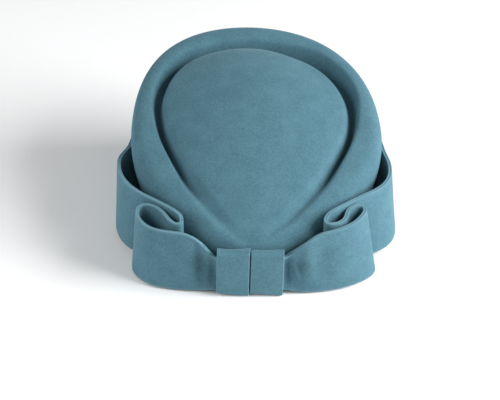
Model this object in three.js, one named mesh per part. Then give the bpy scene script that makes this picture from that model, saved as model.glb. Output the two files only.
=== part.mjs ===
// A felt hat: one blocked felt body with a teardrop tip inside a rolled edge,
// and a folded felt bow round its back, bound by two short wraps.
// Millimetres, +Z up, +Y to the front of the hat. The rim stands on z = 0.
import * as THREE from 'three';

// Driving dimensions, outside of the felt. Overhangs are from the rim out to the
// rolled edge, margins from there in to the groove.
const openingWidth = 172;
const openingLength = 202;
const sideOverhang = 12.5;
const frontOverhang = 1;
const backOverhang = 2.5;
const frontHeight = 114;
const backHeight = 46.5;
const rollRadius = 12;
const wallTuck = 3;
const sideMargin = 23.25;
const frontMargin = 22;
const backMargin = 4.5;
const tipRise = 19;
const grooveDepth = 15;
const lipWidth = 8;
const flankWidth = 8;
const feltWall = 2.3;
const sideSway = 2.8;
const stripWidth = 52;
const stripThickness = 3;
const loopReach = 24;
const wrapWidth = 25.4;
const wrapHeight = 42;
const wrapThickness = 2.3;
const wrapCorner = 3.2;
const pinchBottom = 4;
const pinchHeight = 30;
const sewnGap = 0.35;

// How far the back quarters of the rolled edge pull in from a plain oval, and
// how far its front quarters stand out, as shares of its radius
const backTaper = 0.045;
const frontFullness = 0.045;
// The highest place of the tip, as a share of the length from the centre
const tipCentre = 0.1;
// The most that the groove's outer slope takes of the felt between it and the edge
const lipShare = 0.55;

// Where the sideways bend is widest, behind the centre, and how far from there it
// crosses the middle, as shares of the length
const swayCentre = 0.08;
const swayHalfLength = 0.33;

// Where the pinched stretch bends, from the hat's middle, as shares of wrapWidth
const pinchPlaces = [1.08, 0.95, 0.75, 0.4];

const rollWidth = openingWidth + 2 * sideOverhang;
const rollFront = openingLength / 2 + frontOverhang;
const rollBack = openingLength / 2 + backOverhang;
const tipWidth = rollWidth - 2 * sideMargin;
const tipFront = rollFront - frontMargin;
const tipBack = rollBack - backMargin;

// Mesh steps
const bearingSteps = 72;
const wallSteps = [0, 0.14, 0.32, 0.5, 0.68, 0.85];
const rollSteps = [0, 0.14, 0.28, 0.42, 0.56, 0.7, 0.86];
const lipSteps = [0, 0.25, 0.5, 0.75];
const flankSteps = [0, 0.25, 0.5, 0.75, 1];
const tipSteps = [0.8, 0.6, 0.4, 0.2];
const innerWallSteps = [0, 0.32, 0.68];
const innerRollSteps = [0, 0.28, 0.56, 0.76, 0.92];
const innerLipSteps = [0.5, 0.75];
const innerFlankSteps = [0, 0.25, 0.5];
const innerTipSteps = [0.94, 0.7, 0.4];
const stripStepsPerRow = 2;
const stripRows = [0, 0.25, 0.5, 0.75, 1];
const cornerSteps = 4;
// How far to both sides of a station its slope is taken
const slopeSpan = 0.01;

const bodyColor = 0x5b8797;
const stripColor = 0x6591a0;
const wrapColor = 0x5f8b9a;
const feltRoughness = 0.95;

// The teardrop tip, by bearing from the back: reach as a share of its oval,
// depth of the groove round it as a share of grooveDepth, and the widths of the
// groove's two slopes as shares of lipWidth and flankWidth
const teardrop = [
  { bearing: 0, reach: 1, depth: 0.05, lip: 0.7, flank: 1 },
  { bearing: 12, reach: 0.93, depth: 0.12, lip: 0.9, flank: 0.95 },
  { bearing: 24, reach: 0.865, depth: 0.23, lip: 1, flank: 0.95 },
  { bearing: 36, reach: 0.838, depth: 0.38, lip: 1, flank: 0.85 },
  { bearing: 48, reach: 0.843, depth: 0.56, lip: 0.95, flank: 0.72 },
  { bearing: 60, reach: 0.858, depth: 0.74, lip: 0.85, flank: 0.64 },
  { bearing: 72, reach: 0.898, depth: 0.85, lip: 0.74, flank: 0.64 },
  { bearing: 84, reach: 0.955, depth: 0.93, lip: 0.66, flank: 0.7 },
  { bearing: 96, reach: 1.012, depth: 0.96, lip: 0.62, flank: 0.8 },
  { bearing: 108, reach: 1.075, depth: 1, lip: 0.62, flank: 0.9 },
  { bearing: 120, reach: 1.112, depth: 1, lip: 0.62, flank: 1 },
  { bearing: 132, reach: 1.115, depth: 1, lip: 0.62, flank: 1.04 },
  { bearing: 144, reach: 1.09, depth: 1, lip: 0.62, flank: 1.1 },
  { bearing: 156, reach: 1.035, depth: 1.02, lip: 0.62, flank: 1.16 },
  { bearing: 168, reach: 0.995, depth: 1.05, lip: 0.62, flank: 1.2 },
  { bearing: 180, reach: 0.98, depth: 1.06, lip: 0.62, flank: 1.2 },
];

// The bow's strips from the cut end on the wall to the knot. stand and flare are
// shares of loopReach: how far the top edge stands off the rolled edge, and how
// much further the bottom edge does. low and tall are shares of stripWidth: the
// bottom edge's height and the strip's. hug is 1 where it follows the wall. dent
// is how far the strip's middle height is drawn in, as a share of loopReach.
const rightStrip = [
  { bearing: 106, stand: 0, low: 0.15, tall: 1, flare: 0, hug: 1, dent: 0 },
  { bearing: 98, stand: 0, low: 0.15, tall: 1, flare: 0, hug: 1, dent: 0 },
  { bearing: 91, stand: 0, low: 0.15, tall: 1, flare: 0, hug: 0.9, dent: 0 },
  { bearing: 86, stand: 0.05, low: 0.15, tall: 1, flare: 0.01, hug: 0.4, dent: 0 },
  { bearing: 80, stand: 0.2, low: 0.15, tall: 1, flare: 0.09, hug: 0, dent: 0 },
  { bearing: 74, stand: 0.34, low: 0.13, tall: 1, flare: 0.2, hug: 0, dent: 0 },
  { bearing: 68, stand: 0.39, low: 0.11, tall: 1, flare: 0.29, hug: 0, dent: 0 },
  { bearing: 62, stand: 0.31, low: 0.1, tall: 1, flare: 0.37, hug: 0, dent: 0 },
  { bearing: 56, stand: 0.15, low: 0.1, tall: 1, flare: 0.37, hug: 0, dent: 0 },
  { bearing: 50, stand: 0.05, low: 0.1, tall: 1, flare: 0.24, hug: 0, dent: 0 },
  { bearing: 44, stand: 0.02, low: 0.11, tall: 1, flare: 0.1, hug: 0, dent: 0 },
  { bearing: 38, stand: 0.02, low: 0.12, tall: 1, flare: 0.03, hug: 0, dent: 0 },
  { bearing: 34.2, stand: 0.03, low: 0.1, tall: 1, flare: 0, hug: 0, dent: 0 },
  { bearing: 32.2, stand: 0.11, low: 0.07, tall: 1, flare: 0, hug: 0, dent: 0 },
  { bearing: 31.8, stand: 0.25, low: 0.045, tall: 1, flare: 0, hug: 0, dent: 0 },
  { bearing: 33.2, stand: 0.39, low: 0.045, tall: 1, flare: 0.02, hug: 0, dent: 0 },
  { bearing: 35.8, stand: 0.47, low: 0.04, tall: 1, flare: 0.05, hug: 0, dent: 0 },
  { bearing: 38.6, stand: 0.46, low: 0.045, tall: 1, flare: 0.08, hug: 0, dent: 0 },
  { bearing: 40.7, stand: 0.37, low: 0.055, tall: 1, flare: 0.12, hug: 0, dent: 0 },
  { bearing: 42.3, stand: 0.27, low: 0.065, tall: 1, flare: 0.16, hug: 0, dent: 0 },
  { bearing: 44.6, stand: 0.2, low: 0.07, tall: 1, flare: 0.22, hug: 0, dent: 0 },
  { bearing: 47.4, stand: 0.21, low: 0.07, tall: 1, flare: 0.3, hug: 0, dent: 0 },
  { bearing: 49.6, stand: 0.3, low: 0.06, tall: 1, flare: 0.37, hug: 0, dent: 0 },
  { bearing: 50.2, stand: 0.42, low: 0.05, tall: 1, flare: 0.43, hug: 0, dent: 0 },
  { bearing: 49, stand: 0.56, low: 0.04, tall: 1, flare: 0.47, hug: 0, dent: 0 },
  { bearing: 46.2, stand: 0.67, low: 0.035, tall: 1, flare: 0.46, hug: 0, dent: 0 },
  { bearing: 42, stand: 0.73, low: 0.035, tall: 0.98, flare: 0.4, hug: 0, dent: 0 },
  { bearing: 37.5, stand: 0.71, low: 0.035, tall: 0.97, flare: 0.34, hug: 0, dent: 0 },
  { bearing: 32.5, stand: 0.62, low: 0.035, tall: 0.96, flare: 0.3, hug: 0, dent: 0.03 },
  { bearing: 28, stand: 0.48, low: 0.035, tall: 0.94, flare: 0.28, hug: 0, dent: 0.12 },
  { bearing: 24, stand: 0.37, low: 0.035, tall: 0.88, flare: 0.24, hug: 0, dent: 0.27 },
  { bearing: 20.4, stand: 0.3, low: 0.04, tall: 0.78, flare: 0.18, hug: 0, dent: 0.4 },
  { bearing: 17, stand: 0.24, low: 0.045, tall: 0.67, flare: 0.1, hug: 0, dent: 0.2 },
];
const leftStrip = [
  { bearing: 110, stand: 0, low: 0.15, tall: 1, flare: 0, hug: 1, dent: 0 },
  { bearing: 101, stand: 0, low: 0.15, tall: 1, flare: 0, hug: 1, dent: 0 },
  { bearing: 93.5, stand: 0.02, low: 0.15, tall: 1, flare: 0, hug: 0.8, dent: 0 },
  { bearing: 88.8, stand: 0.14, low: 0.15, tall: 1, flare: 0.02, hug: 0.2, dent: 0 },
  { bearing: 84, stand: 0.31, low: 0.15, tall: 1, flare: 0.07, hug: 0, dent: 0 },
  { bearing: 77, stand: 0.41, low: 0.14, tall: 1, flare: 0.13, hug: 0, dent: 0 },
  { bearing: 70, stand: 0.43, low: 0.13, tall: 1, flare: 0.21, hug: 0, dent: 0 },
  { bearing: 62.5, stand: 0.37, low: 0.13, tall: 1, flare: 0.29, hug: 0, dent: 0 },
  { bearing: 55, stand: 0.24, low: 0.13, tall: 1, flare: 0.28, hug: 0, dent: 0 },
  { bearing: 48.5, stand: 0.11, low: 0.13, tall: 1, flare: 0.17, hug: 0, dent: 0 },
  { bearing: 42, stand: 0.04, low: 0.13, tall: 1, flare: 0.07, hug: 0, dent: 0 },
  { bearing: 37, stand: 0.02, low: 0.13, tall: 1, flare: 0.02, hug: 0, dent: 0 },
  { bearing: 33, stand: 0.03, low: 0.11, tall: 1, flare: 0, hug: 0, dent: 0 },
  { bearing: 31, stand: 0.12, low: 0.08, tall: 1, flare: 0, hug: 0, dent: 0 },
  { bearing: 30.5, stand: 0.24, low: 0.06, tall: 1, flare: 0, hug: 0, dent: 0 },
  { bearing: 32.2, stand: 0.35, low: 0.055, tall: 1, flare: 0.02, hug: 0, dent: 0 },
  { bearing: 35.8, stand: 0.34, low: 0.065, tall: 1, flare: 0.04, hug: 0, dent: 0 },
  { bearing: 39.6, stand: 0.26, low: 0.08, tall: 1, flare: 0.08, hug: 0, dent: 0 },
  { bearing: 44.2, stand: 0.23, low: 0.09, tall: 1, flare: 0.14, hug: 0, dent: 0 },
  { bearing: 48.6, stand: 0.3, low: 0.085, tall: 1, flare: 0.2, hug: 0, dent: 0 },
  { bearing: 51.4, stand: 0.45, low: 0.065, tall: 1, flare: 0.24, hug: 0, dent: 0 },
  { bearing: 51.2, stand: 0.65, low: 0.05, tall: 1, flare: 0.23, hug: 0, dent: 0 },
  { bearing: 48.2, stand: 0.83, low: 0.04, tall: 0.98, flare: 0.19, hug: 0, dent: 0 },
  { bearing: 43.8, stand: 0.92, low: 0.035, tall: 0.97, flare: 0.17, hug: 0, dent: 0 },
  { bearing: 38.8, stand: 0.89, low: 0.035, tall: 0.96, flare: 0.17, hug: 0, dent: 0 },
  { bearing: 33.8, stand: 0.7, low: 0.035, tall: 0.95, flare: 0.2, hug: 0, dent: 0.04 },
  { bearing: 29.2, stand: 0.48, low: 0.035, tall: 0.94, flare: 0.24, hug: 0, dent: 0.13 },
  { bearing: 25.5, stand: 0.33, low: 0.035, tall: 0.92, flare: 0.24, hug: 0, dent: 0.3 },
  { bearing: 22, stand: 0.26, low: 0.04, tall: 0.85, flare: 0.18, hug: 0, dent: 0.44 },
  { bearing: 18.5, stand: 0.22, low: 0.045, tall: 0.74, flare: 0.1, hug: 0, dent: 0.24 },
];

function feltMaterial(color) {
  return new THREE.MeshStandardMaterial({ color, roughness: feltRoughness, metalness: 0 });
}

const radians = THREE.MathUtils.degToRad;

// Radius of an oval with the half sizes across and along, at a bearing
function ovalRadius(bearing, across, along) {
  return 1 / Math.hypot(Math.sin(bearing) / across, Math.cos(bearing) / along);
}

// Smooth value of one column of the teardrop table at a bearing in radians
function teardropValue(bearing, column) {
  const angle = THREE.MathUtils.radToDeg(Math.abs(Math.atan2(Math.sin(bearing), Math.cos(bearing))));
  const last = teardrop.length - 1;
  const step = Math.min(teardrop.findLastIndex((row) => row.bearing <= angle), last - 1);
  const value = (index) => teardrop[index < 0 ? -index : index > last ? 2 * last - index : index][column];
  const [before, from, to, after] = [-1, 0, 1, 2].map((offset) => value(step + offset));
  const share = (angle - teardrop[step].bearing) / (teardrop[step + 1].bearing - teardrop[step].bearing);
  const slopeFrom = (to - before) / 2;
  const slopeTo = (after - from) / 2;
  const rest = share - 1;
  return from * (1 + 2 * share) * rest * rest + to * share * share * (3 - 2 * share)
    + slopeFrom * share * rest * rest + slopeTo * share * share * rest;
}

function baseRadius(bearing) {
  return ovalRadius(bearing, openingWidth / 2, openingLength / 2);
}

function edgeRadius(bearing) {
  const behind = Math.cos(bearing) > 0;
  const oval = ovalRadius(bearing, rollWidth / 2, behind ? rollBack : rollFront);
  return oval * (1 + (behind ? -backTaper : frontFullness) * Math.sin(2 * bearing) ** 2);
}

function tipRadius(bearing) {
  const along = Math.cos(bearing) > 0 ? tipBack : tipFront;
  return teardropValue(bearing, 'reach') * ovalRadius(bearing, tipWidth / 2, along);
}

// Radius of the shoulder where the tip turns down into the groove
function shoulderRadius(bearing) {
  return tipRadius(bearing) - flankWidth * teardropValue(bearing, 'flank');
}

// Radius of the lip where the rolled edge turns down into it
function lipRadius(bearing) {
  const tip = tipRadius(bearing);
  const width = lipWidth * teardropValue(bearing, 'lip');
  return tip + Math.min(width, lipShare * (edgeRadius(bearing) - tip));
}

// Height of the sloping plane through the top of the rolled edge
function planeHeight(y) {
  const backCrest = rollRadius - rollBack;
  const frontCrest = rollFront - rollRadius;
  return THREE.MathUtils.mapLinear(y, backCrest, frontCrest, backHeight, frontHeight);
}

function edgeHeight(bearing) {
  return planeHeight(-edgeRadius(bearing) * Math.cos(bearing)) - rollRadius;
}

// Outside of the side wall: level runs from 0 at the rim to 1 at the widest place
function wallPoint(bearing, level) {
  const base = baseRadius(bearing);
  const swell = (edgeRadius(bearing) - base) * Math.sin(level * Math.PI / 2);
  const tuck = wallTuck * Math.sin(level * Math.PI) ** 2;
  return new THREE.Vector2(base + swell - tuck, level * edgeHeight(bearing));
}

// Height of the tip's dome over the plane, as a share of tipRise
function domeShare(bearing, radius) {
  const x = radius * Math.sin(bearing);
  const y = -radius * Math.cos(bearing) - tipCentre * openingLength;
  const along = y > 0 ? tipFront - tipCentre * openingLength : tipBack + tipCentre * openingLength;
  return Math.max(0, 1 - (2 * x / tipWidth) ** 2 - (y / along) ** 2);
}

// Outside of the top at a radius: the rolled edge, the groove and the raised tip
function topPoint(bearing, radius) {
  const edge = edgeRadius(bearing);
  const tip = tipRadius(bearing);
  const turn = THREE.MathUtils.clamp((radius - edge + rollRadius) / rollRadius, 0, 1);
  const drop = rollRadius * (1 - Math.sqrt(1 - turn * turn));
  const slopeWidth = Math.abs((radius > tip ? lipRadius(bearing) : shoulderRadius(bearing)) - tip);
  const across = Math.min(Math.abs(radius - tip) / slopeWidth, 1);
  const groove = teardropValue(bearing, 'depth') * grooveDepth * Math.cos(across * Math.PI / 2) ** 2;
  const rise = tipRise * domeShare(bearing, Math.min(radius, tip))
    * THREE.MathUtils.clamp((edge - radius) / (edge - tip), 0, 1);
  return new THREE.Vector2(radius, planeHeight(-radius * Math.cos(bearing)) + rise - drop - groove);
}

// The whole outside profile at a bearing. station is 0 to 1 on the wall, 1 to 2
// over the rolled edge, 2 to 3 down the groove's outer slope, 3 to 4 up the tip's
// flank and 4 to 5 to the centre.
function profilePoint(bearing, station) {
  if (station <= 1) {
    return wallPoint(bearing, station);
  }
  const edge = edgeRadius(bearing);
  const lip = lipRadius(bearing);
  const tip = tipRadius(bearing);
  if (station <= 2) {
    return topPoint(bearing, edge - (edge - lip) * (station - 1) ** 2);
  }
  if (station <= 3) {
    return topPoint(bearing, THREE.MathUtils.lerp(lip, tip, station - 2));
  }
  const shoulder = shoulderRadius(bearing);
  return topPoint(bearing, station <= 4
    ? THREE.MathUtils.lerp(tip, shoulder, station - 3) : shoulder * (5 - station));
}

// The inside of the felt, square to the outside
function liningPoint(bearing, station) {
  const here = profilePoint(bearing, station);
  if (station === 0) {
    return here.setX(here.x - feltWall);
  }
  const ahead = profilePoint(bearing, Math.min(station + slopeSpan, 5));
  const behind = profilePoint(bearing, station - slopeSpan);
  const along = ahead.sub(behind).normalize();
  return here.add(new THREE.Vector2(-along.y, along.x).multiplyScalar(feltWall));
}

// The hat isn't quite even: seen from above, its length bends a little to one side
function swayed(x, y, z) {
  const bend = 1 - ((y / openingLength + swayCentre) / swayHalfLength) ** 2;
  return new THREE.Vector3(x + sideSway * bend, y, z);
}

function placed(bearing, radius, height) {
  return swayed(radius * Math.sin(bearing), -radius * Math.cos(bearing), height);
}

// A closed body put together from rows of points
class Skin {
  constructor() {
    this.points = [];
    this.faces = [];
  }

  row(points) {
    return points.map((point) => this.points.push(point) - 1);
  }

  // Faces between two rows, outward when the second lies to the left of the first
  band(first, second, closed) {
    const count = first.length;
    for (let i = 0; i < (closed ? count : count - 1); i += 1) {
      const j = (i + 1) % count;
      this.faces.push(first[i], first[j], second[j], first[i], second[j], second[i]);
    }
  }

  fan(rim, centre) {
    rim.forEach((index, i) => this.faces.push(index, rim[(i + 1) % rim.length], centre));
  }

  mesh(name, color) {
    const geometry = new THREE.BufferGeometry().setFromPoints(this.points);
    geometry.setIndex(this.faces);
    geometry.computeVertexNormals();
    const mesh = new THREE.Mesh(geometry, feltMaterial(color));
    mesh.name = name;
    return mesh;
  }
}

function stations(wall, roll, lip, flank, tip) {
  return [...wall, ...roll.map((step) => 1 + step), ...lip.map((step) => 2 + step),
    ...flank.map((step) => 3 + step), ...tip.map((step) => 5 - step)];
}

function feltBody() {
  const skin = new Skin();
  const bearings = Array.from({ length: bearingSteps }, (_, i) => 2 * Math.PI * i / bearingSteps);
  const ring = (place, station) => skin.row(bearings.map((bearing) => {
    const point = place(bearing, station);
    return placed(bearing, point.x, point.y);
  }));
  const centre = (place) => skin.row([placed(0, 0, place(0, 5).y)])[0];
  const outside = stations(wallSteps, rollSteps, lipSteps, flankSteps, tipSteps)
    .map((station) => ring(profilePoint, station));
  const inside = stations(innerWallSteps, innerRollSteps, innerLipSteps, innerFlankSteps, innerTipSteps)
    .map((station) => ring(liningPoint, station));
  outside.slice(1).forEach((row, i) => skin.band(outside[i], row, true));
  skin.fan(outside.at(-1), centre(profilePoint));
  inside.slice(1).forEach((row, i) => skin.band(row, inside[i], true));
  skin.fan([...inside.at(-1)].reverse(), centre(liningPoint));
  skin.band(inside[0], outside[0], true);
  return skin.mesh('felt_body', bodyColor);
}

// Distance from the centre to the middle of a strip that lies on the wall
function wallLine(bearing, height) {
  const level = THREE.MathUtils.clamp(height / edgeHeight(bearing), 0, 1);
  return wallPoint(bearing, level).x;
}

const stripSeat = sewnGap + stripThickness / 2;
const knotLine = rollBack + sewnGap + wrapThickness + sewnGap + stripThickness / 2;

// Points up the middle of a strip's sheet, for one row of its table
function stripLine(row, side) {
  const bearing = radians(row.bearing);
  const edge = edgeRadius(bearing);
  return stripRows.map((share) => {
    const height = (row.low + share * row.tall) * stripWidth;
    const wall = THREE.MathUtils.lerp(edge, wallLine(bearing, height), row.hug);
    const stand = row.stand + (1 - share) * row.flare - row.dent * Math.sin(share * Math.PI) ** 2;
    return placed(side * bearing, wall + stripSeat + stand * loopReach, height);
  });
}

// The same for the pinched stretch under the wraps, up to the hat's middle
function knotLines(side) {
  return [...pinchPlaces, sewnGap / wrapWidth].map((place) => stripRows.map((share) => (
    swayed(side * place * wrapWidth, -knotLine, pinchBottom + share * pinchHeight))));
}

function bowStrip(name, table, side) {
  const lines = [...table.map((row) => stripLine(row, side)), ...knotLines(side)];
  const curves = stripRows.map((share, level) => (
    new THREE.CatmullRomCurve3(lines.map((line) => line[level]), false, 'centripetal')));
  const count = (lines.length - 1) * stripStepsPerRow;
  const skin = new Skin();
  const faces = { inner: [], outer: [] };
  for (let i = 0; i <= count; i += 1) {
    const heading = new THREE.Vector3();
    curves.forEach((curve) => heading.add(curve.getTangent(i / count)));
    heading.setZ(0).normalize();
    const outward = new THREE.Vector3(heading.y, -heading.x, 0).multiplyScalar(side * stripThickness / 2);
    const column = (sign) => curves
      .map((curve) => curve.getPoint(i / count).addScaledVector(outward, sign));
    faces.outer.push(skin.row(column(1)));
    faces.inner.push(skin.row(column(-1)));
  }
  const band = (first, second, closed) => (side < 0
    ? skin.band(first, second, closed) : skin.band(second, first, closed));
  const loops = faces.outer.map((outer, i) => [...outer, ...[...faces.inner[i]].reverse()]);
  loops.slice(1).forEach((loop, i) => band(loops[i], loop, true));
  band(faces.inner[0], faces.outer[0], false);
  band(faces.outer[count], faces.inner[count], false);
  return skin.mesh(name, stripColor);
}

// One wrap: a flattened ring of felt round the pinched strips
function knotWrap(name, side) {
  const depth = 2 * (wrapThickness + sewnGap) + stripThickness;
  const outline = (target, inset) => {
    const [left, right] = [-depth / 2 + inset, depth / 2 - inset];
    const [low, high] = [inset, wrapHeight - inset];
    const corner = wrapCorner - inset;
    target.moveTo(left + corner, low).lineTo(right - corner, low);
    target.absarc(right - corner, low + corner, corner, -Math.PI / 2, 0, false);
    target.lineTo(right, high - corner);
    target.absarc(right - corner, high - corner, corner, 0, Math.PI / 2, false);
    target.lineTo(left + corner, high);
    target.absarc(left + corner, high - corner, corner, Math.PI / 2, Math.PI, false);
    target.lineTo(left, low + corner);
    target.absarc(left + corner, low + corner, corner, Math.PI, 1.5 * Math.PI, false);
    return target;
  };
  const section = outline(new THREE.Shape(), 0);
  section.holes.push(outline(new THREE.Path(), wrapThickness));
  const width = wrapWidth - sewnGap;
  const settings = { depth: width, bevelEnabled: false, curveSegments: cornerSteps };
  const geometry = new THREE.ExtrudeGeometry(section, settings);
  geometry.rotateX(Math.PI / 2).rotateZ(Math.PI / 2);
  const mesh = new THREE.Mesh(geometry, feltMaterial(wrapColor));
  mesh.name = name;
  const start = swayed(side > 0 ? sewnGap : sewnGap - wrapWidth, -knotLine, 0);
  mesh.position.copy(start);
  return mesh;
}

const hat = new THREE.Group();
hat.add(feltBody());
hat.add(bowStrip('bow_left', leftStrip, -1));
hat.add(bowStrip('bow_right', rightStrip, 1));
hat.add(knotWrap('knot_wrap_left', -1));
hat.add(knotWrap('knot_wrap_right', 1));

// The middle of the hat's footprint is the origin
const box = new THREE.Box3().setFromObject(hat);
const footprint = box.getCenter(new THREE.Vector3()).setZ(box.min.z);
hat.children.forEach((mesh) => mesh.position.sub(footprint));

export default hat;
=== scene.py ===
"""A blocked felt hat with a teardrop tip and a folded bow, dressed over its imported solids."""

import logging
import math
from dataclasses import dataclass
from enum import Enum
from typing import Callable

import bpy
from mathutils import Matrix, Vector


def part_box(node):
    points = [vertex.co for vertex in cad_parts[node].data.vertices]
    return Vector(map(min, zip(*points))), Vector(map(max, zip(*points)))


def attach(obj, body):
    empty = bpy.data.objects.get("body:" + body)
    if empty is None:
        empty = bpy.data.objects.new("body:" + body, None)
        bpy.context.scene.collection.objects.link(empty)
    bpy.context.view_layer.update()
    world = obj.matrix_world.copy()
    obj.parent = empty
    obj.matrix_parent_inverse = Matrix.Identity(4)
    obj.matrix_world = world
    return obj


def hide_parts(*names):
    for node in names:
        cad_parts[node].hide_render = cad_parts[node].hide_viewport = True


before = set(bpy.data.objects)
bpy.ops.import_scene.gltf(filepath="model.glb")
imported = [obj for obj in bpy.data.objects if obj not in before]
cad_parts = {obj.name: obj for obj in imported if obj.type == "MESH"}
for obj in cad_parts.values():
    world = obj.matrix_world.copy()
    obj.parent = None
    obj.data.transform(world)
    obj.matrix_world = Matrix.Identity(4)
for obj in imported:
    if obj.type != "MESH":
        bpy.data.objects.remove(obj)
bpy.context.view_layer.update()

LOG = logging.getLogger("hat")
MM = 0.001
CUT_MARK = "cut_edge"
X_AXIS, Z_AXIS = 0, 2
# A Mix node names its number, vector and colour sockets alike, so its colour ones go by number.
MIX_SHARE, MIX_FIRST, MIX_SECOND, MIX_RESULT = 0, 6, 7, 2

Color = tuple[float, float, float]
FaceTest = Callable[[bpy.types.MeshPolygon], bool]


class Side(Enum):
    """Which half of the bow a piece belongs to, as the sign of its X."""

    LEFT = -1
    RIGHT = 1

    @property
    def word(self) -> str:
        """The side's name in a piece's name."""
        return self.name.lower()


def limited(share: float) -> float:
    """A share kept between 0 and 1."""
    return min(1.0, max(0.0, share))


def make_active(piece: bpy.types.Object) -> None:
    """Makes a piece the only selected and active one.

    Args:
        piece: The piece to work on.
    """
    bpy.ops.object.select_all(action="DESELECT")
    piece.select_set(True)
    bpy.context.view_layer.objects.active = piece


class Value:
    """A shader number or colour on a node's output, used in sums as a plain number is."""

    def __init__(self, shader: "Shader", socket: bpy.types.NodeSocket) -> None:
        """Wraps one output socket.

        Args:
            shader: The material's node maker.
            socket: The output that carries the value.
        """
        self.shader = shader
        self.socket = socket

    def _math(self, operation: str, other: "Value | float") -> "Value":
        """Adds one Math node.

        Args:
            operation: The Math node's operation.
            other: Its second value, after this one.

        Returns:
            The node's result.
        """
        return self.shader.node("ShaderNodeMath", {"operation": operation}, {0: self, 1: other})

    def __add__(self, other: "Value | float") -> "Value":
        """Self plus other."""
        return self._math("ADD", other)

    __radd__ = __add__

    def __sub__(self, other: "Value | float") -> "Value":
        """Self less other."""
        return self._math("SUBTRACT", other)

    def __mul__(self, other: "Value | float") -> "Value":
        """Self times other."""
        return self._math("MULTIPLY", other)

    def clamped(self) -> "Value":
        """The value held between 0 and 1."""
        return self.shader.node("ShaderNodeClamp", {}, {0: self})


@dataclass(frozen=True)
class Blots:
    """One layer of noise in felt.

    It has the blots' size, how far they change the colour, how many finer octaves they have and
    how strong those are, and how far they raise the nap.
    """

    size: float
    share: float
    detail: float
    roughness: float = 0.5
    relief: float = 0.0
    average: float = 0.5

    def tone(self, noise: Value) -> Value:
        """How far the noise makes the felt lighter or darker."""
        return (noise - self.average) * self.share


class Shader:
    """The node maker of one material."""

    def __init__(self, name: str) -> None:
        """Starts an empty material.

        Args:
            name: The material's name.
        """
        self.material = bpy.data.materials.new(name)
        self.material.use_nodes = True
        self.tree = self.material.node_tree
        self.tree.nodes.clear()

    def node(self, kind: str, settings: dict | None = None, sockets: dict | None = None,
             output: int | str = 0) -> Value:
        """Adds any node, sets it up, then fills or links its sockets.

        Args:
            kind: The node's type.
            settings: Its own settings, which are set first.
            sockets: Its inputs by number or name, each a plain value or a Value.
            output: The output that is handed back.

        Returns:
            The chosen output.
        """
        made = self.tree.nodes.new(kind)
        for key, setting in (settings or {}).items():
            setattr(made, key, setting)
        for key, value in (sockets or {}).items():
            if isinstance(value, Value):
                self.tree.links.new(value.socket, made.inputs[key])
            else:
                made.inputs[key].default_value = value
        return Value(self, made.outputs[output])

    def output(self, surface: Value) -> None:
        """Links the finished surface to the material's output.

        Args:
            surface: The finished surface.
        """
        end = self.tree.nodes.new("ShaderNodeOutputMaterial")
        self.tree.links.new(surface.socket, end.inputs["Surface"])

    def noise(self, place: Value, blots: Blots) -> Value:
        """Soft noise with blots of about a given size.

        Args:
            place: The coordinates it is read at.
            blots: What it looks like.

        Returns:
            The noise, from 0 to 1.
        """
        return self.node("ShaderNodeTexNoise", {}, {
            "Vector": place, "Scale": 1 / blots.size, "Detail": blots.detail,
            "Roughness": blots.roughness})

    def blend(self, share: Value, first: "Value | Color", second: Color) -> Value:
        """Mixes two colours.

        Args:
            share: How much of the second one shows.
            first: A colour or a colour value.
            second: A colour.

        Returns:
            The mixed colour.
        """
        if not isinstance(first, Value):
            first = (*first, 1.0)
        return self.node("ShaderNodeMix", {"data_type": "RGBA"}, {
            MIX_SHARE: share, MIX_FIRST: first, MIX_SECOND: (*second, 1.0)}, MIX_RESULT)


@dataclass(frozen=True)
class Felt:
    """Wool felt: a matt nap of fine fibres, mottled, and paler where it was cut."""

    name: str
    dark: Color
    light: Color
    cut: Color
    clouds: Blots = Blots(size=14 * MM, share=1.3, detail=3.0)
    grains: Blots = Blots(size=1.5 * MM, share=2.1, detail=2.0, roughness=0.6, relief=0.55)
    fibres: Blots = Blots(size=0.45 * MM, share=1.4, detail=2.0, roughness=0.7, relief=0.45)
    even_tone: float = 0.5
    nap_depth: float = 0.35 * MM
    nap_strength: float = 0.55
    roughness: float = 0.93
    sheen: float = 0.3
    sheen_roughness: float = 0.45
    sheen_tint: Color = (0.55, 0.78, 0.88)
    gloss: float = 0.12

    def material(self) -> bpy.types.Material:
        """Builds the felt's nodes.

        Returns:
            The new material.
        """
        shader = Shader(self.name)
        place = shader.node("ShaderNodeTexCoord", output="Object")
        clouds, grains, fibres = (shader.noise(place, blots)
                                  for blots in (self.clouds, self.grains, self.fibres))
        mottle = (self.even_tone + self.clouds.tone(clouds) + self.grains.tone(grains)
                  + self.fibres.tone(fibres)).clamped()
        nap = shader.blend(mottle, self.dark, self.light)
        cut = shader.node("ShaderNodeAttribute", {"attribute_name": CUT_MARK}, output="Fac")
        color = shader.blend(cut.clamped(), nap, self.cut)
        height = grains * self.grains.relief + fibres * self.fibres.relief
        bump = shader.node("ShaderNodeBump", {}, {
            "Strength": self.nap_strength, "Distance": self.nap_depth, "Height": height})
        surface = shader.node("ShaderNodeBsdfPrincipled", {}, {
            "Base Color": color, "Roughness": self.roughness, "Normal": bump,
            "Specular IOR Level": self.gloss, "Sheen Weight": self.sheen,
            "Sheen Roughness": self.sheen_roughness, "Sheen Tint": (*self.sheen_tint, 1.0)})
        shader.output(surface)
        return shader.material


@dataclass(frozen=True)
class Bump:
    """A soft bump along a strip: how far it moves the felt, where its middle is and its reach."""

    depth: float
    middle: float
    reach: float

    def at(self, place: float) -> float:
        """How far the bump moves the felt at one place along the strip."""
        return self.depth * math.exp(-((place - self.middle) / self.reach) ** 2)


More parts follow.
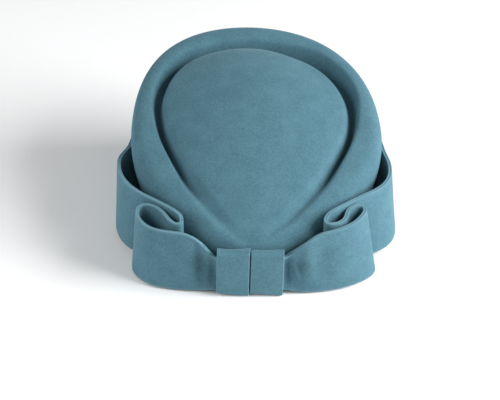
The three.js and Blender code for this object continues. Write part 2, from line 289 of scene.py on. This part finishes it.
@dataclass
class FeltPiece:
    """One felt part of the hat, refined from a merged copy of its solid."""

    node: str
    name: str
    finish: bpy.types.Material
    slot: str
    merge_reach: float = 0.01 * MM
    corner: float = 0.45 * MM
    corner_steps: int = 2
    corner_profile: float = 0.5
    smooth_levels: int = 2
    sharp: float = math.radians(62)

    def copied(self) -> None:
        """Copies the solid, merges its loose triangles and pairs them into quads."""
        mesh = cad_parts[self.node].data.copy()
        mesh.materials.clear()
        mesh.materials.append(self.finish)
        self.piece = bpy.data.objects.new(self.name, mesh)
        bpy.context.scene.collection.objects.link(self.piece)
        make_active(self.piece)
        bpy.ops.mesh.customdata_custom_splitnormals_clear()
        bpy.ops.object.mode_set(mode="EDIT")
        bpy.ops.mesh.select_all(action="SELECT")
        bpy.ops.mesh.remove_doubles(threshold=self.merge_reach)
        bpy.ops.mesh.tris_convert_to_quads(face_threshold=math.pi, shape_threshold=math.pi)
        bpy.ops.object.mode_set(mode="OBJECT")

    @staticmethod
    def pick_none(kind: str) -> None:
        """Goes to edit mode with nothing selected.

        Args:
            kind: What is selected from then on, "FACE" or "EDGE".
        """
        bpy.ops.object.mode_set(mode="EDIT")
        bpy.ops.mesh.select_mode(type=kind)
        bpy.ops.mesh.select_all(action="DESELECT")

    def pick_faces(self, wanted: FaceTest) -> None:
        """Goes to edit mode with only the wanted faces selected.

        Args:
            wanted: Says of a face if it is wanted.
        """
        self.pick_none("FACE")
        bpy.ops.object.mode_set(mode="OBJECT")
        for face in self.piece.data.polygons:
            face.select = wanted(face)
        bpy.ops.object.mode_set(mode="EDIT")

    def pick_edges(self, wanted: Callable[[Vector, Vector], bool]) -> None:
        """Goes to edit mode with only the wanted edges selected.

        Args:
            wanted: Says of an edge's two ends if it is wanted.
        """
        self.pick_none("EDGE")
        bpy.ops.object.mode_set(mode="OBJECT")
        mesh = self.piece.data
        for edge in mesh.edges:
            first, second = (mesh.vertices[i].co for i in edge.vertices)
            edge.select = wanted(first, second)
        bpy.ops.object.mode_set(mode="EDIT")

    def pick_open_edges(self) -> None:
        """Goes to edit mode with only the edges of holes selected."""
        self.pick_none("EDGE")
        bpy.ops.mesh.select_non_manifold(extend=False, use_wire=False, use_boundary=True,
                                         use_multi_face=False, use_non_contiguous=False,
                                         use_verts=False)

    def round_cut_edges(self) -> None:
        """Rounds the edges where the felt was cut, which also keeps them crisp when smoothed."""
        self.pick_none("EDGE")
        bpy.ops.mesh.edges_select_sharp(sharpness=self.sharp)
        self.bevel_picked()

    def bevel_picked(self) -> None:
        """Bevels the selected edges and leaves edit mode."""
        bpy.ops.mesh.bevel(offset=self.corner, segments=self.corner_steps,
                           profile=self.corner_profile, affect="EDGES", clamp_overlap=True)
        bpy.ops.object.mode_set(mode="OBJECT")

    def mark_cuts(self, is_cut: FaceTest) -> None:
        """Writes 1 on the points of cut faces and 0 elsewhere, for the finish to read.

        Args:
            is_cut: Says of a face if it is a cut one.
        """
        mesh = self.piece.data
        marks = [0.0] * len(mesh.vertices)
        for face in mesh.polygons:
            if is_cut(face):
                for index in face.vertices:
                    marks[index] = 1.0
        mesh.attributes.new(CUT_MARK, "FLOAT", "POINT").data.foreach_set("value", marks)

    def move_points(self, moved: Callable[[Vector], Vector]) -> None:
        """Moves every point of the piece.

        Args:
            moved: Gives a point's new place.
        """
        for vertex in self.piece.data.vertices:
            vertex.co = moved(vertex.co)
        self.piece.data.update()

    def smooth(self) -> None:
        """Subdivides the piece, applies that, and shades it smooth."""
        make_active(self.piece)
        surface = self.piece.modifiers.new("soft_felt", "SUBSURF")
        surface.levels = surface.render_levels = self.smooth_levels
        bpy.ops.object.modifier_apply(modifier=surface.name)
        bpy.ops.object.shade_smooth()

    def seated(self) -> bpy.types.Object:
        """Puts the piece in its solid's place in the frame.

        Returns:
            The finished piece.
        """
        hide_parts(self.node)
        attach(self.piece, "root")
        return self.piece


@dataclass
class Crown(FeltPiece):
    """The blocked felt crown: side wall, rolled edge, groove and teardrop tip.

    The shoulder is the right one of the tip, seen from behind. Its place is in plan, and it
    reaches along the tip's edge, inwards and outwards, and not down the side wall.
    """

    poles: int = 2
    pole_span: int = 18
    rim_height: float = 0.1 * MM
    shoulder: Vector = Vector((50 * MM, 56 * MM))
    shoulder_spread: float = 38 * MM
    shoulder_inward: float = 27 * MM
    shoulder_outward: float = 9 * MM
    wall_top: float = 45 * MM
    wall_fade: float = 20 * MM
    shoulder_draw: Vector = Vector((-4.5 * MM, -5 * MM, -1.8 * MM))

    def build(self) -> bpy.types.Object:
        """Makes the crown.

        Returns:
            The finished piece.
        """
        self.copied()
        for _ in range(self.poles):
            self.close_pole()
        self.pick_faces(self.on_rim)
        bpy.ops.mesh.region_to_loop()
        self.bevel_picked()
        self.mark_cuts(self.on_rim)
        self.smooth()
        self.move_points(self.drawn_in)
        return self.seated()

    def on_rim(self, face: bpy.types.MeshPolygon) -> bool:
        """If a face lies on the cut rim that the hat stands on."""
        return face.center.z < self.rim_height

    def drawn_in(self, point: Vector) -> Vector:
        """Where a point goes once the tip's right shoulder is drawn in, as hand blocking left it.

        Args:
            point: A point of the even crown.

        Returns:
            Its new place.
        """
        flat = point.to_2d()
        out = flat.length - self.shoulder.length
        along = self.shoulder.length * flat.angle(self.shoulder, 0.0)
        reach = self.shoulder_outward if out > 0 else self.shoulder_inward
        above_wall = limited((point.z - self.wall_top) / self.wall_fade)
        share = above_wall * math.exp(-(out / reach) ** 2 - (along / self.shoulder_spread) ** 2)
        return point + self.shoulder_draw * share

    def close_pole(self) -> None:
        """Replaces the largest fan of thin triangles, on either face of the tip, with a dome."""
        mesh = self.piece.data
        valence = [0] * len(mesh.vertices)
        for edge in mesh.edges:
            for index in edge.vertices:
                valence[index] += 1
        pole = valence.index(max(valence))
        apex = mesh.vertices[pole].co.copy()
        fan = (face for face in mesh.polygons if pole in face.vertices)
        ring = {i for face in fan for i in face.vertices} - {pole}
        spokes = [(mesh.vertices[i].co - apex).to_2d() for i in ring]
        self.pick_faces(lambda face: pole in face.vertices)
        bpy.ops.mesh.delete(type="FACE")
        self.pick_open_edges()
        bpy.ops.mesh.fill_grid(span=self.pole_span, offset=0)
        bpy.ops.object.mode_set(mode="OBJECT")
        self.dome([vertex for vertex in mesh.vertices if vertex.select], apex, spokes)

    @staticmethod
    def dome(points: list[bpy.types.MeshVertex], apex: Vector, spokes: list[Vector]) -> None:
        """Lifts a flat grid back up to the tip's curve.

        Args:
            points: The grid's points.
            apex: Where its middle belongs.
            spokes: The ways from there to the points of its rim.
        """
        middle = min(points, key=lambda vertex: (vertex.co - apex).to_2d().length)
        rise = apex.z - middle.co.z
        for vertex in points:
            away = (vertex.co - apex).to_2d()
            along = max(spokes, key=lambda spoke: spoke.dot(away) / spoke.length)
            vertex.co.z += rise * limited(1 - (away.length / along.length) ** 2)


@dataclass
class BowStrip(FeltPiece):
    """One folded strip of two-ply felt, from the side of the crown to the knot.

    The knot draws the strip's back panel in beside it, with a pit and a swell next to that, and
    lifts the strip's foot behind the wraps. The panel ends in front at a line in plan, which
    keeps the inner loop out of this.
    """

    side: Side = Side.LEFT
    width: float = 52 * MM
    length: float = 286 * MM
    ply_inset: float = 0.85 * MM
    ply_depth: float = 0.35 * MM
    upright: float = 0.75
    pit: Bump = Bump(9 * MM, 1.5 * MM, 4.8 * MM)
    swell: Bump = Bump(-5 * MM, 17 * MM, 8.5 * MM)
    pit_start: float = 2.5 * MM
    panel_width: float = 45 * MM
    panel_front: float = -80 * MM
    panel_front_slope: float = -0.4
    panel_front_end: float = -90.2 * MM
    foot: float = 3 * MM
    foot_tuck: float = 2.4 * MM
    tuck_start: float = 2.0 * MM
    tuck_reach: float = 12 * MM
    knot_top: float = 36 * MM
    top_slope: float = 0.8

    def build(self) -> bpy.types.Object:
        """Makes the strip.

        Returns:
            The finished piece.
        """
        self.copied()
        self.round_cut_edges()
        self.mark_cuts(self.on_long_edge)
        self.press_ply_line()
        self.smooth()
        low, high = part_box(f"knot_wrap_{self.side.word}")
        self.knot_edge = high.x if self.side is Side.RIGHT else low.x
        self.move_points(self.pinched)
        piece = self.seated()
        return piece

    def on_long_edge(self, face: bpy.types.MeshPolygon) -> bool:
        """If a face lies on the strip's upper or lower cut edge."""
        return abs(face.normal.z) > self.upright

    def press_ply_line(self) -> None:
        """Presses a fine channel along the cut edges, where the two plies meet."""
        self.pick_faces(self.on_long_edge)
        bpy.ops.mesh.inset(thickness=self.ply_inset, depth=-self.ply_depth,
                           use_boundary=True, use_even_offset=True)
        bpy.ops.object.mode_set(mode="OBJECT")

    def pinched(self, point: Vector) -> Vector:
        """Where a point goes once the knot has drawn the felt in beside it.

        Args:
            point: A point of the strip as folded.

        Returns:
            Its new place.
        """
        away = (point.x - self.knot_edge) * self.side.value
        behind_wrap = limited(-away / self.tuck_start)
        near_foot = max(0.0, 1 - point.z / self.tuck_reach)
        tucked = point + Vector((0, 0, self.foot_tuck * (behind_wrap * near_foot)))
        top = min(self.width, self.knot_top + self.top_slope * max(0.0, away))
        up = (point.z - self.foot) / (top - self.foot)
        front = max(self.panel_front_end, self.panel_front + self.panel_front_slope * away)
        beside_knot = -self.pit_start < away < self.panel_width
        if not (beside_knot and 0 < up < 1 and point.y < front):
            return tucked
        start = min(1.0, 1 + away / self.pit_start) ** 2
        push = start * (self.pit.at(away) + self.swell.at(away))
        return Vector((point.x, point.y + push * math.sin(math.pi * up), tucked.z))


@dataclass
class KnotWrap(FeltPiece):
    """One short felt wrap round the pinched strips, pulled a little out of square.

    Its top edge drops at the left, the middle and the right, and its bottom edge is lifted at
    the left and the right. Its rear layer narrows beside the strip that turns inwards there.
    """

    side: Side = Side.LEFT
    width: float = 25 * MM
    length: float = 88 * MM
    across_cuts: int = 5
    upright_cuts: int = 7
    long_edge: float = 8 * MM
    cut_side: float = 0.7
    flat_side: float = 0.9
    belly: float = 0.5 * MM
    top_drop: tuple[float, float, float] = (0.3 * MM, 1.2 * MM, 0.0)
    bottom_lift: tuple[float, float] = (2.4 * MM, 0.0)
    lean: float = 1.0 * MM
    back_narrowing: float = 3.2 * MM
    rear_start: float = 0.35
    rear_top: float = 0.93
    rear_fade: float = 0.07
    seam_waist: float = 0.45 * MM

    def build(self) -> bpy.types.Object:
        """Makes the wrap.

        Returns:
            The finished piece.
        """
        self.copied()
        self.rebuild_sides()
        self.round_cut_edges()
        self.cut_across()
        self.low, self.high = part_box(self.node)
        self.mark_cuts(lambda face: abs(face.normal.x) > self.cut_side)
        self.move_points(self.pulled)
        self.smooth()
        piece = self.seated()
        return piece

    def rebuild_sides(self) -> None:
        """Gives each side of the ring one row of quads in place of its triangles."""
        for sign in (-1, 1):
            self.pick_faces(lambda face: face.normal.x * sign > self.flat_side)
            bpy.ops.mesh.delete(type="FACE")
            self.pick_open_edges()
            bpy.ops.mesh.bridge_edge_loops()
            bpy.ops.object.mode_set(mode="OBJECT")

    def cut_across(self) -> None:
        """Divides the wide flats, so that the felt can belly and sag."""
        for axis, cuts in ((X_AXIS, self.across_cuts), (Z_AXIS, self.upright_cuts)):
            self.pick_edges(lambda first, second: abs(first[axis] - second[axis]) > self.long_edge)
            bpy.ops.mesh.subdivide(number_cuts=cuts)
            bpy.ops.object.mode_set(mode="OBJECT")

    def pulled(self, point: Vector) -> Vector:
        """Where a point of the squared wrap goes once the felt is drawn tight.

        Args:
            point: A point of the squared wrap.

        Returns:
            Its new place.
        """
        across = 2 * (point.x - self.low.x) / (self.high.x - self.low.x) - 1
        up = (point.z - self.low.z) / (self.high.z - self.low.z)
        behind = 1 - 2 * (point.y - self.low.y) / (self.high.y - self.low.y)
        outer = (1 + across * self.side.value) / 2
        back = max(0.0, behind)
        rear = limited(-behind / self.rear_start) * limited((self.rear_top - up) / self.rear_fade)
        narrowed = self.side.value * self.back_narrowing * outer * rear
        waist = self.side.value * self.seam_waist * (1 - outer) * back
        swell = self.belly * (1 - across ** 2) * math.sin(math.pi * limited(up)) * back
        return Vector((point.x + self.lean * (up - 0.5) - narrowed + waist,
                       point.y - swell,
                       point.z + self.bottom_at(across) * (1 - up) - self.top_at(across) * up))

    def top_at(self, across: float) -> float:
        """How far the top edge drops, from -1 at the left to 1 at the right."""
        left, middle, right = self.top_drop
        return middle + (right - left) / 2 * across + ((left + right) / 2 - middle) * across ** 2

    def bottom_at(self, across: float) -> float:
        """How far the bottom edge is lifted, from -1 at the left to 1 at the right."""
        left, right = self.bottom_lift
        return (left + right) / 2 + (right - left) / 2 * across


@dataclass(frozen=True)
class Softbox:
    """One square softbox: where it hangs, its side in metres and its power in watts."""

    name: str
    place: Vector
    size: float
    power: float

    def hang(self, look_at: Vector) -> None:
        """Hangs the softbox, turned to the hat.

        Args:
            look_at: The middle of the hat.
        """
        bpy.ops.object.light_add(type="AREA", location=self.place)
        light = bpy.context.active_object
        light.name = self.name
        light.data.size = self.size
        light.data.energy = self.power
        light.rotation_euler = (look_at - self.place).to_track_quat("-Z", "Y").to_euler()


@dataclass
class Studio:
    """A pale floor, a softbox on each side with the right one stronger, and the camera."""

    look_at: Vector = Vector((-4.2 * MM, 5.1 * MM, 11.5 * MM))
    distance: float = 1.6
    elevation: float = math.radians(35)
    lens: float = 144
    sensor: float = 36
    farthest: float = 20
    floor_size: float = 8.0
    floor_color: Color = (0.97, 0.97, 0.97)
    floor_roughness: float = 0.9
    floor_gloss: float = 0.1
    sky_color: Color = (0.95, 0.98, 1.0)
    sky_strength: float = 0.2
    lights: tuple[Softbox, ...] = (
        Softbox("right_light", Vector((1.35, -0.35, 0.75)), size=1.1, power=46.0),
        Softbox("left_light", Vector((-1.35, -0.35, 0.75)), size=1.1, power=15.0),
        Softbox("near_light", Vector((0.0, -1.75, 0.6)), size=1.0, power=3.5))

    def build(self) -> None:
        """Sets up the floor, the light and the camera."""
        bpy.context.scene.view_settings.view_transform = "Standard"
        self.floor()
        self.sky()
        for light in self.lights:
            light.hang(self.look_at)
        self.camera()

    def floor(self) -> None:
        """Lays the floor under the rim."""
        bpy.ops.mesh.primitive_plane_add(size=self.floor_size, location=(0, 0, 0))
        plane = bpy.context.active_object
        plane.name = "studio_floor"
        shader = Shader("studio_floor")
        shader.output(shader.node("ShaderNodeBsdfPrincipled", {}, {
            "Base Color": (*self.floor_color, 1.0), "Roughness": self.floor_roughness,
            "Specular IOR Level": self.floor_gloss}))
        plane.data.materials.append(shader.material)

    def sky(self) -> None:
        """Gives the world one even pale light."""
        world = bpy.data.worlds.new("studio_sky")
        world.use_nodes = True
        background = world.node_tree.nodes["Background"]
        background.inputs["Color"].default_value = (*self.sky_color, 1.0)
        background.inputs["Strength"].default_value = self.sky_strength
        bpy.context.scene.world = world

    def camera(self) -> None:
        """Stands the camera straight behind the hat, above it."""
        away = Vector((0, -math.cos(self.elevation), math.sin(self.elevation)))
        place = self.look_at + away * self.distance
        bpy.ops.object.camera_add(location=place)
        camera = bpy.context.active_object
        camera.name = "studio_camera"
        camera.rotation_euler = (-away).to_track_quat("-Z", "Y").to_euler()
        camera.data.lens = self.lens
        camera.data.sensor_width = self.sensor
        camera.data.clip_end = self.farthest
        bpy.context.scene.camera = camera


BODY_FELT = Felt("body_felt", dark=(0.058, 0.138, 0.180), light=(0.086, 0.193, 0.237),
                 cut=(0.102, 0.212, 0.260))
STRIP_FELT = Felt("strip_felt", dark=(0.060, 0.140, 0.185), light=(0.090, 0.200, 0.245),
                  cut=(0.120, 0.240, 0.292))
WRAP_FELT = Felt("wrap_felt", dark=(0.063, 0.147, 0.192), light=(0.093, 0.207, 0.255),
                 cut=(0.120, 0.243, 0.295))


def main() -> None:
    """Builds the hat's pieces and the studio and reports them."""
    logging.basicConfig(level=logging.INFO, format="%(message)s")
    body, strip, wrap = (felt.material() for felt in (BODY_FELT, STRIP_FELT, WRAP_FELT))
    parts = (
        Crown("felt_body", "felt_crown", body, "body_felt"),
        BowStrip("bow_left", "bow_strip_left", strip, "strip_felt",
                 pit=Bump(9.6 * MM, 2 * MM, 5.2 * MM),
                 swell=Bump(-6 * MM, 20 * MM, 10 * MM)),
        BowStrip("bow_right", "bow_strip_right", strip, "strip_felt", side=Side.RIGHT),
        KnotWrap("knot_wrap_left", "bow_wrap_left", wrap, "wrap_felt"),
        KnotWrap("knot_wrap_right", "bow_wrap_right", wrap, "wrap_felt", side=Side.RIGHT,
                 top_drop=(1.6 * MM, 1.9 * MM, 1.4 * MM), bottom_lift=(2.2 * MM, 0.4 * MM)))
    for part in parts:
        piece = part.build()
        LOG.info("%s: %d faces", piece.name, len(piece.data.polygons))
    Studio().build()


if __name__ == "__main__":
    main()
